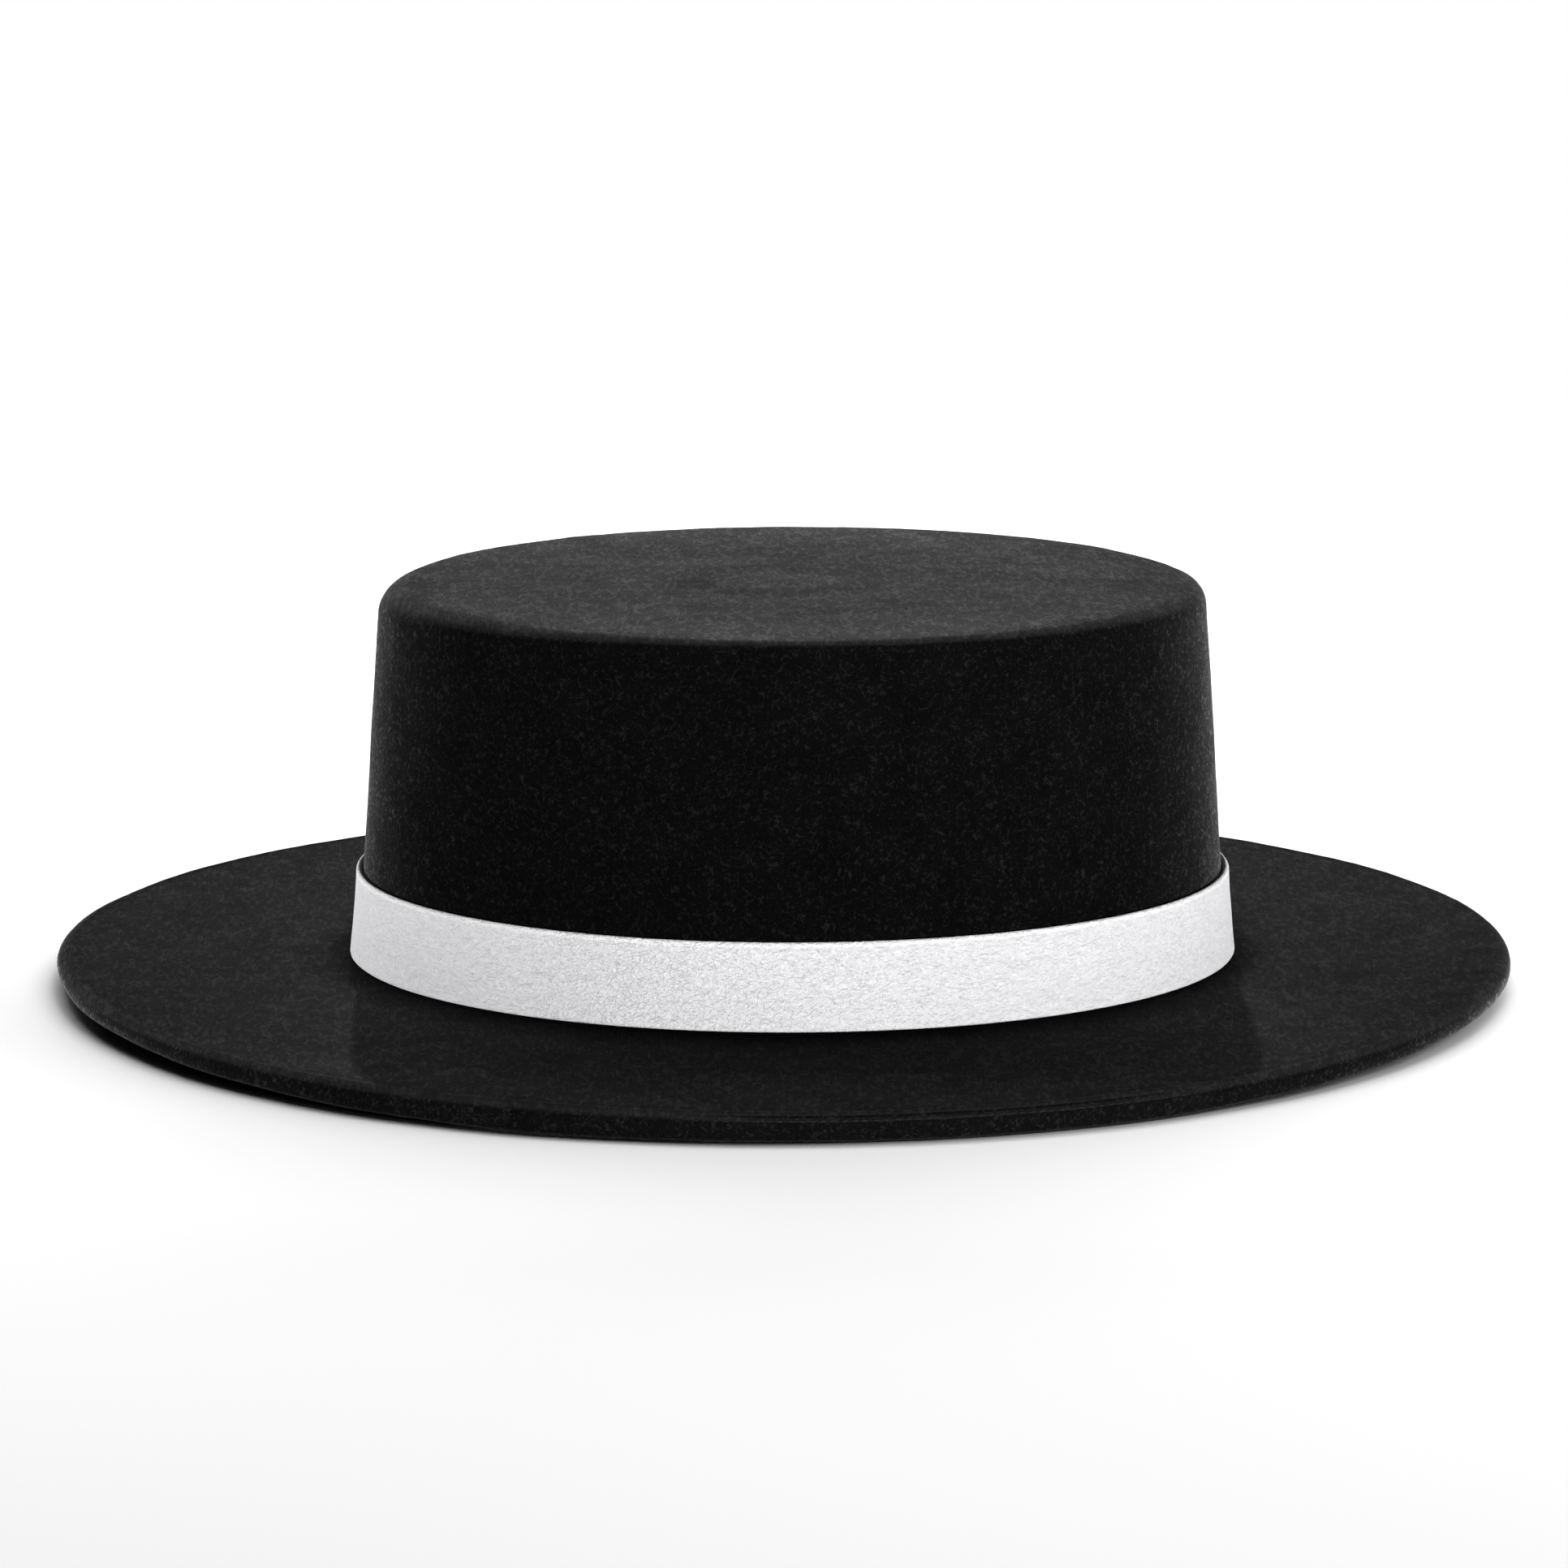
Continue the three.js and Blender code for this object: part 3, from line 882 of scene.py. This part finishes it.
def thread_material():
    material, graph, shader = new_material("black_thread", THREAD_SURFACE)
    twist = graph.noise(graph.millimetres(), **THREAD_TWIST)
    graph.join(graph.mix("RGBA", twist, THREAD_LOW, THREAD_HIGH), shader.inputs["Base Color"])
    return material


# Crepe

CREPE_SURFACE = {"Roughness": 0.85, "Specular IOR Level": 0.2, "Sheen Weight": 0.1}
CREPE_LOW = (0.775, 0.77, 0.79, 1)
CREPE_HIGH = (0.85, 0.845, 0.865, 1)
# A highlight is painted along the folded top rim. It starts and is full this far below the top.
CREPE_PAINTED_HIGHLIGHT = (0.97, 0.97, 0.975, 1)
HIGHLIGHT_BELOW = (1.6, 1.1)
# The raised threads: their lean in degrees, how drawn out and how curly they are, and how thin.
CREPE_LEAN = -35.0
CREPE_STRETCH = (0.8, 1.45, 1.0)
CREPE_CURL = 0.6
CREPE_THIN = 6.0
# A slow noise makes them wander by this much.
WANDER_NOISE = {"scale": 0.5, "detail": 1.0}
WANDER_SHIFT = 40.0
WANDER_BY = 1.6
# Coarse and fine threads and a fine grain, and how much each raises the cloth.
CREPE_THREADS = ({"scale": 0.85, "shift": 0.0}, {"scale": 1.5, "shift": 23.0})
CREPE_GRAIN = {"scale": 4.5, "shift": 5.0}
CREPE_SHARES = (0.65, 0.4, 0.25)
CREPE_BUMP = {"strength": 1.0, "distance": 0.26}


def crepe_threads(graph, cloth, scale, shift):
    """The crinkle of crepe: short raised threads that lean across the strip, and wander."""
    wander = graph.noise(cloth, shift=shift + WANDER_SHIFT, **WANDER_NOISE)
    lean = (0, 0, math.radians(CREPE_LEAN))
    turned = graph.node("Mapping", cloth, vector_type="POINT", rotation=lean, scale=CREPE_STRETCH)
    wander = graph.math("MULTIPLY", wander, WANDER_BY)
    bent = graph.node("VectorMath", turned.outputs[0], wander, operation="ADD").outputs[0]
    curly = graph.noise(bent, scale, detail=1.5, distortion=CREPE_CURL, shift=shift)
    return graph.thin_lines(curly, CREPE_THIN)


def crepe_material():
    """White crepe: its crinkle is mapped on the flat cloth, so it follows the strip round the crown."""
    material, graph, shader = new_material("white_crepe_cloth", CREPE_SURFACE)
    cloth = graph.node("UVMap", uv_map="cloth").outputs["UV"]
    parts = [crepe_threads(graph, cloth, **kind) for kind in CREPE_THREADS]
    parts.append(graph.noise(cloth, **CREPE_GRAIN))
    height = graph.sum_of(*zip(parts, CREPE_SHARES))
    crinkled = graph.mix("RGBA", height, CREPE_LOW, CREPE_HIGH)
    across = graph.apart(cloth)[1]
    # Painted highlight along the folded top rim.
    highlight = graph.smooth_share(across, *[BAND_HEIGHT - below for below in HIGHLIGHT_BELOW])
    graph.join(graph.mix("RGBA", highlight, crinkled, CREPE_PAINTED_HIGHLIGHT), shader.inputs["Base Color"])
    graph.join(graph.bump(height, **CREPE_BUMP), shader.inputs["Normal"])
    return material


# Floor, lights and camera. Places and sizes here are in metres, and powers in watts.

FLOOR_CORNERS = 64
FLOOR_RADIUS = 9.0
FLOOR_FADE = (0.6, 1.0)
FLOOR_SURFACE = {"Base Color": (0.9, 0.9, 0.9, 1), "Roughness": 1.0, "Specular IOR Level": 0.0}
STUDIO_WHITE = 1.0

CAMERA_DISTANCE = 1.5
CAMERA_AZIMUTH = -1.67
CAMERA_ELEVATION = 11.6
CAMERA_LENS = 147.8
CAMERA_SENSOR = 36.0
CAMERA_CLIP = (0.05, 40.0)

AIM = Vector((-0.0001, 0.0001, 0.0445))
HAT_TOP = Vector((0, 0, FELT_HIGH[2] * MM))
FLOOR_MIDDLE = Vector((0, 0, 0))

# Softboxes for the felt: where each stands, its width and height, and its power.
FELT_SOFTBOXES = {
    "back_mid": {"place": (0, 1.7, 1.0), "size": (2.4, 0.6), "power": 27},
    "back_high": {"place": (0, 1.2, 1.7), "size": (1.6, 1.0), "power": 12},
    "back_left": {"place": (-1.5, 1.3, 0.5), "size": (0.8, 0.8), "power": 9},
    "back_left_high": {"place": (-1.3, 1.1, 1.2), "size": (0.8, 0.8), "power": 5},
    "back_right_high": {"place": (1.3, 1.1, 1.2), "size": (0.8, 0.8), "power": 8},
}
# Softboxes for felt and band alike.
HAT_SOFTBOXES = {
    "side_left": {"place": (-1.9, 0.8, 0.13), "size": (0.5, 0.2), "power": 23},
    "side_right": {"place": (1.9, 0.8, 0.13), "size": (0.5, 0.2), "power": 10},
    "front_low": {"place": (0, -2.2, 0.08), "size": (2.0, 0.1), "power": 13},
    "front_left": {"place": (-1.5, -1.6, 0.08), "size": (0.8, 0.1), "power": 18},
    "front_right": {"place": (1.5, -1.6, 0.08), "size": (0.8, 0.1), "power": 33},
}
# The white band needs far less light from behind than the black felt does, and a little more from the right.
BAND_SOFTBOXES = {
    "band_back": {"place": (0, 2.2, 0.1), "size": (3.0, 0.2), "power": 45},
    "band_right": {"place": (1.7, -1.5, 0.08), "size": (1.0, 0.1), "power": 4.5},
}
# Softboxes for the floor alone. They stand behind and beside it, so that its shadow falls to the front.
FLOOR_SOFTBOXES = {
    "floor_top": {"place": (0.3, 1.4, 1.7), "size": (3.0, 1.2), "power": 62},
    "floor_above": {"place": (0.3, 0.4, 2.0), "size": (0.8, 0.8), "power": 8},
    "floor_right": {"place": (2.2, 0, 0.7), "size": (1.0, 2.4), "power": 48},
    "floor_back": {"place": (0, 2.2, 0.7), "size": (2.4, 1.0), "power": 52},
}
# A narrow soft beam from behind, on the crown's top.
BEAM = {"place": (0, 1.9, 1.6), "degrees": 5.0, "blur": 0.05, "soft_rim": 0.4, "power": 370}


def white_floor():
    """A white floor under the hat that fades into an even white ground, as a seamless studio sweep does."""
    bpy.ops.mesh.primitive_circle_add(vertices=FLOOR_CORNERS, radius=FLOOR_RADIUS, fill_type="NGON")
    floor = bpy.context.object
    floor.name = "floor"
    material, graph, shader = new_material("white_floor", FLOOR_SURFACE)
    place = graph.node("TexCoord").outputs["Object"]
    away = graph.node("VectorMath", place, operation="LENGTH").outputs["Value"]
    fade = graph.smooth_share(away, *FLOOR_FADE)
    even = graph.node("Emission", strength=STUDIO_WHITE)
    both = graph.node("MixShader", fade, shader.outputs[0], even.outputs[0])
    graph.join(both.outputs[0], graph.nodes["Material Output"].inputs["Surface"])
    floor.data.materials.append(material)
    return floor


def lit_group(name, members, state):
    """A group of objects for lights to shine on: these members alone, or all but these."""
    group = bpy.data.collections.new(name)
    for member in members:
        group.objects.link(member)
    for held in group.collection_objects:
        held.light_linking.link_state = state
    return group


def lamp(name, kind, place, aim, power, shines_on):
    """A light that faces a point and doesn't show itself."""
    light = bpy.data.lights.new(name, kind)
    light.energy = power
    holder = bpy.data.objects.new(name, light)
    holder.location = place
    holder.rotation_euler = (aim - Vector(place)).to_track_quat("-Z", "Y").to_euler()
    holder.visible_camera = False
    holder.light_linking.receiver_collection = shines_on
    bpy.context.scene.collection.objects.link(holder)
    return light


def studio_lights(floor, band):
    felt_only = lit_group("lit_felt", [floor, band], "EXCLUDE")
    hat_only = lit_group("lit_hat", [floor], "EXCLUDE")
    band_only = lit_group("lit_band", [band], "INCLUDE")
    floor_only = lit_group("lit_floor", [floor], "INCLUDE")
    sets = (
        (FELT_SOFTBOXES, AIM, felt_only),
        (HAT_SOFTBOXES, AIM, hat_only),
        (BAND_SOFTBOXES, AIM, band_only),
        (FLOOR_SOFTBOXES, FLOOR_MIDDLE, floor_only),
    )
    for boxes, aim, shines_on in sets:
        for name, box in boxes.items():
            light = lamp(name, "AREA", box["place"], aim, box["power"], shines_on)
            light.shape = "RECTANGLE"
            light.size, light.size_y = box["size"]
    beam = lamp("crown_beam", "SPOT", BEAM["place"], HAT_TOP, BEAM["power"], felt_only)
    beam.spot_size = math.radians(BEAM["degrees"])
    beam.spot_blend = BEAM["soft_rim"]
    beam.shadow_soft_size = BEAM["blur"]


def white_world():
    """White where the camera sees it. It gives no light, so that the black felt keeps its depth."""
    world = bpy.data.worlds.new("studio")
    graph = Graph(world)
    ground = graph.nodes["Background"]
    seen = graph.node("LightPath").outputs["Is Camera Ray"]
    graph.join(graph.math("MULTIPLY", seen, STUDIO_WHITE), ground.inputs["Strength"])
    graph.join((1, 1, 1, 1), ground.inputs["Color"])
    bpy.context.scene.world = world


def camera():
    data = bpy.data.cameras.new("camera")
    data.lens = CAMERA_LENS
    data.sensor_width = CAMERA_SENSOR
    data.clip_start, data.clip_end = CAMERA_CLIP
    turn, lift = math.radians(CAMERA_AZIMUTH), math.radians(CAMERA_ELEVATION)
    back = Vector((math.sin(turn) * math.cos(lift), -math.cos(turn) * math.cos(lift), math.sin(lift)))
    eye = bpy.data.objects.new("camera", data)
    eye.location = AIM + back * CAMERA_DISTANCE
    eye.rotation_euler = (-back).to_track_quat("-Z", "Y").to_euler()
    bpy.context.scene.collection.objects.link(eye)
    bpy.context.scene.camera = eye


def stage(band):
    camera()
    studio_lights(white_floor(), band)
    white_world()
    settings = bpy.context.scene.view_settings
    settings.view_transform = "Standard"
    settings.look = "None"


felt_body(felt_material())
stitches(thread_material())
band = hat_band(crepe_material())
stage(band)
